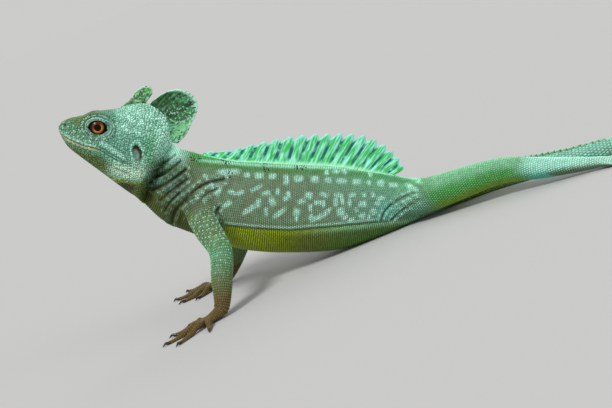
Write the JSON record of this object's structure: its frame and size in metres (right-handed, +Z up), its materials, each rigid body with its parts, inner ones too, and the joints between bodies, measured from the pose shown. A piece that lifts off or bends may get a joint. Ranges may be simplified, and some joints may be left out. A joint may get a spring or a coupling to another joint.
{
  "type": "green basilisk lizard",
  "caption": "Life-size still model of a young male green basilisk lizard lying with raised chest, with head crests, a fin along the back and a long tail.",
  "frame": {"origin": "middle of the flat under the belly and hips, on which the animal rests", "axes": "+X from head to tail, +Y to the animal's right side, +Z up from the floor"},
  "size_m": [0.61, 0.1936, 0.1197],
  "materials": {
    "scaly_skin": "satin, finely scaled, grey-green flanks with pale blue spots and a green back",
    "toe_skin": "matt, coarse scales, olive brown",
    "crest_skin": "satin, thin ribbed membrane, vivid green with blue-green furrows",
    "eye": "glossy, orange iris with a round black pupil",
    "claw": "smooth dark horn"
  },
  "bodies": {
    "root": {"head": "scaly_skin", "lower_jaw": "scaly_skin", "neck": "scaly_skin", "torso": "scaly_skin", "tail_1": "scaly_skin", "tail_2": "scaly_skin", "tail_3": "scaly_skin", "tail_4": "scaly_skin", "tail_5": "scaly_skin", "upper_arm_left": "scaly_skin", "upper_arm_right": "scaly_skin", "forearm_left": "scaly_skin", "forearm_right": "scaly_skin", "thigh_left": "scaly_skin", "thigh_right": "scaly_skin", "shank_left": "scaly_skin", "shank_right": "scaly_skin", "hand_left": "toe_skin", "hand_right": "toe_skin", "foot_left": "toe_skin", "foot_right": "toe_skin", "head_crest_front": "crest_skin", "head_crest_rear": "crest_skin", "dorsal_crest": "crest_skin", "tail_crest": "crest_skin", "eye_left": "eye", "eye_right": "eye"}
  },
  "joints": []
}
